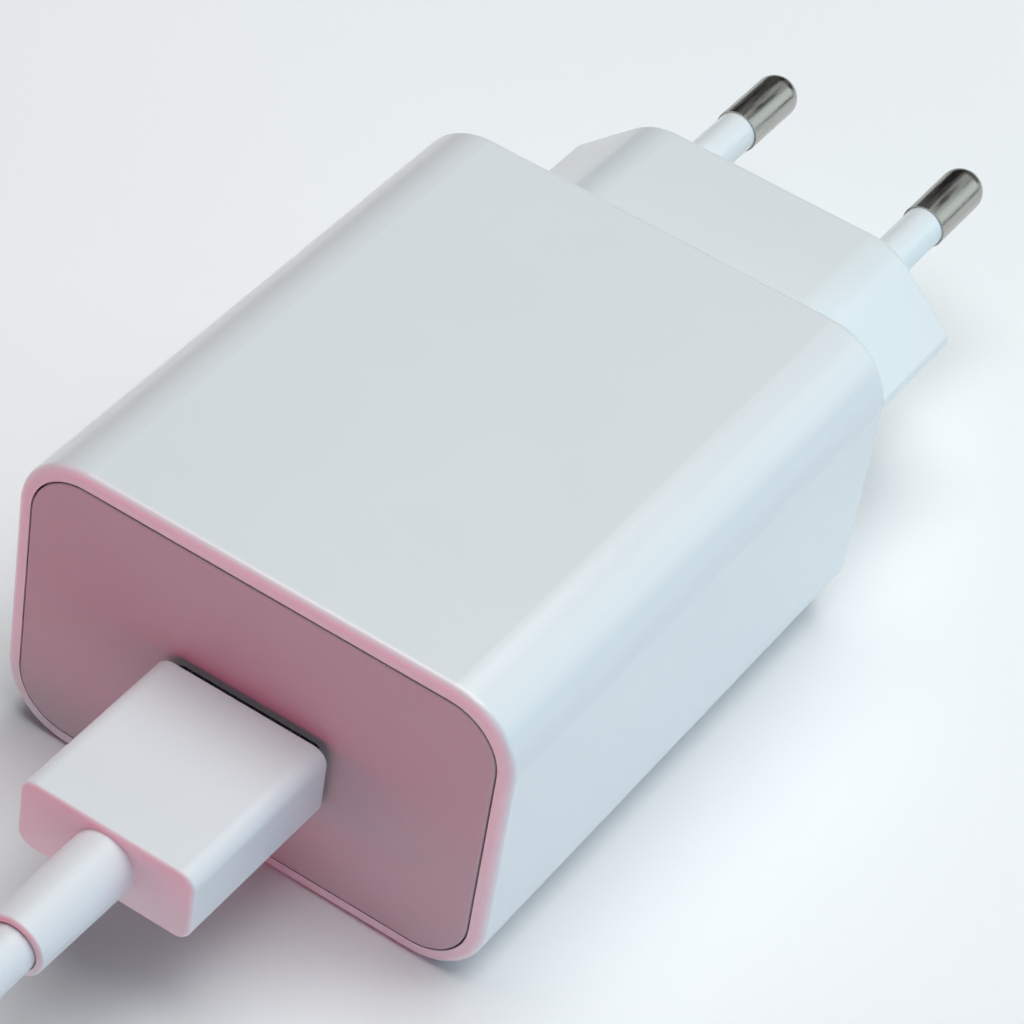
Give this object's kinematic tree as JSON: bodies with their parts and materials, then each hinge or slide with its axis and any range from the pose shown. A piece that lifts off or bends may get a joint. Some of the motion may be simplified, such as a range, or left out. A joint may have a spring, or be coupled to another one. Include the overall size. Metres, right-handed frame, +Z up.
{
  "type": "usb wall charger",
  "caption": "Rounded rectangular USB wall charger with a round-pin mains plug at one end and a coiled cable plugged into its USB port.",
  "frame": {"origin": "under the middle of the charger without its cable, on the flat bottom face", "axes": "+X across the charger, to the right seen from the USB end; +Y from the USB end to the mains pins; +Z up from the bottom face"},
  "size_m": [0.0663, 0.2071, 0.0283],
  "materials": {
    "housing_white": "satin moulded polycarbonate",
    "panel_grey": "fine matte moulded texture",
    "pin_nickel": "polished nickel plate",
    "sleeve_white": "satin",
    "carrier_plastic": "moulded",
    "strip_brass": "rolled strip",
    "socket_steel": "tinned",
    "socket_plastic": "moulded black",
    "contact_gold": "gold flash",
    "board_green": "solder mask",
    "solder": "reflowed tin",
    "ferrite": "sintered",
    "bobbin_plastic": "phenolic",
    "copper_wire": "enamelled wire",
    "tape_yellow": "polyester tape",
    "can_sleeve": "shrink sleeve over an aluminium can",
    "disc_blue": "epoxy coat",
    "disc_green": "epoxy coat",
    "fuse_body": "epoxy coat",
    "chip_black": "moulded epoxy",
    "chip_ceramic": "ceramic",
    "spreader_aluminium": "rolled sheet",
    "film": "polyester film",
    "thermal_pad": "soft silicone",
    "plug_white": "satin moulded elastomer",
    "cable_white": "satin jacket",
    "tie_grey": "soft strap"
  },
  "bodies": {
    "charger": {"housing": "housing_white", "front_panel": "panel_grey", "left_pin": "pin_nickel", "right_pin": "pin_nickel", "left_pin_sleeve": "sleeve_white", "right_pin_sleeve": "sleeve_white", "pin_carrier": "carrier_plastic", "left_contact_strip": "strip_brass", "right_contact_strip": "strip_brass", "usb_socket_shell": "socket_steel", "usb_socket_tongue": "socket_plastic", "usb_socket_contacts": "contact_gold", "transformer_core_lower": "ferrite", "transformer_core_upper": "ferrite", "transformer_bobbin": "bobbin_plastic", "primary_winding": "copper_wire", "secondary_winding": "copper_wire", "transformer_tape": "tape_yellow", "output_capacitor_large": "can_sleeve", "output_capacitor_small": "can_sleeve", "input_capacitor_side": "can_sleeve", "input_capacitor_rear": "can_sleeve", "y_capacitor": "disc_blue", "thermistor": "disc_green", "choke_core": "ferrite", "choke_winding": "copper_wire", "fuse": "fuse_body", "bridge_rectifier": "chip_black", "switching_controller": "chip_black", "optocoupler": "chip_black", "synchronous_rectifier": "chip_black", "protocol_chip": "chip_black", "chip_resistors": "chip_black", "chip_capacitors": "chip_ceramic", "main_board": "board_green", "solder_joints": "solder", "heat_spreader": "spreader_aluminium", "insulating_film": "film", "thermal_pad": "thermal_pad"},
    "cable_plug": {"usb_plug_overmould": "plug_white", "usb_plug_shell": "socket_steel", "usb_plug_insulator": "plug_white", "usb_plug_contacts": "contact_gold", "cable_strain_relief": "cable_white", "cable_lead": "cable_white", "cable_coil": "cable_white", "cable_tail": "cable_white", "cable_tie": "tie_grey", "connector_strain_relief": "cable_white", "connector_overmould": "plug_white", "connector_shell": "socket_steel", "connector_insert": "socket_plastic"}
  },
  "joints": [
    {"name": "usb_plug_slide", "type": "slide", "parent": "charger", "child": "cable_plug", "axis": [0, -1, 0], "range_m": [0, 0.015]}
  ]
}
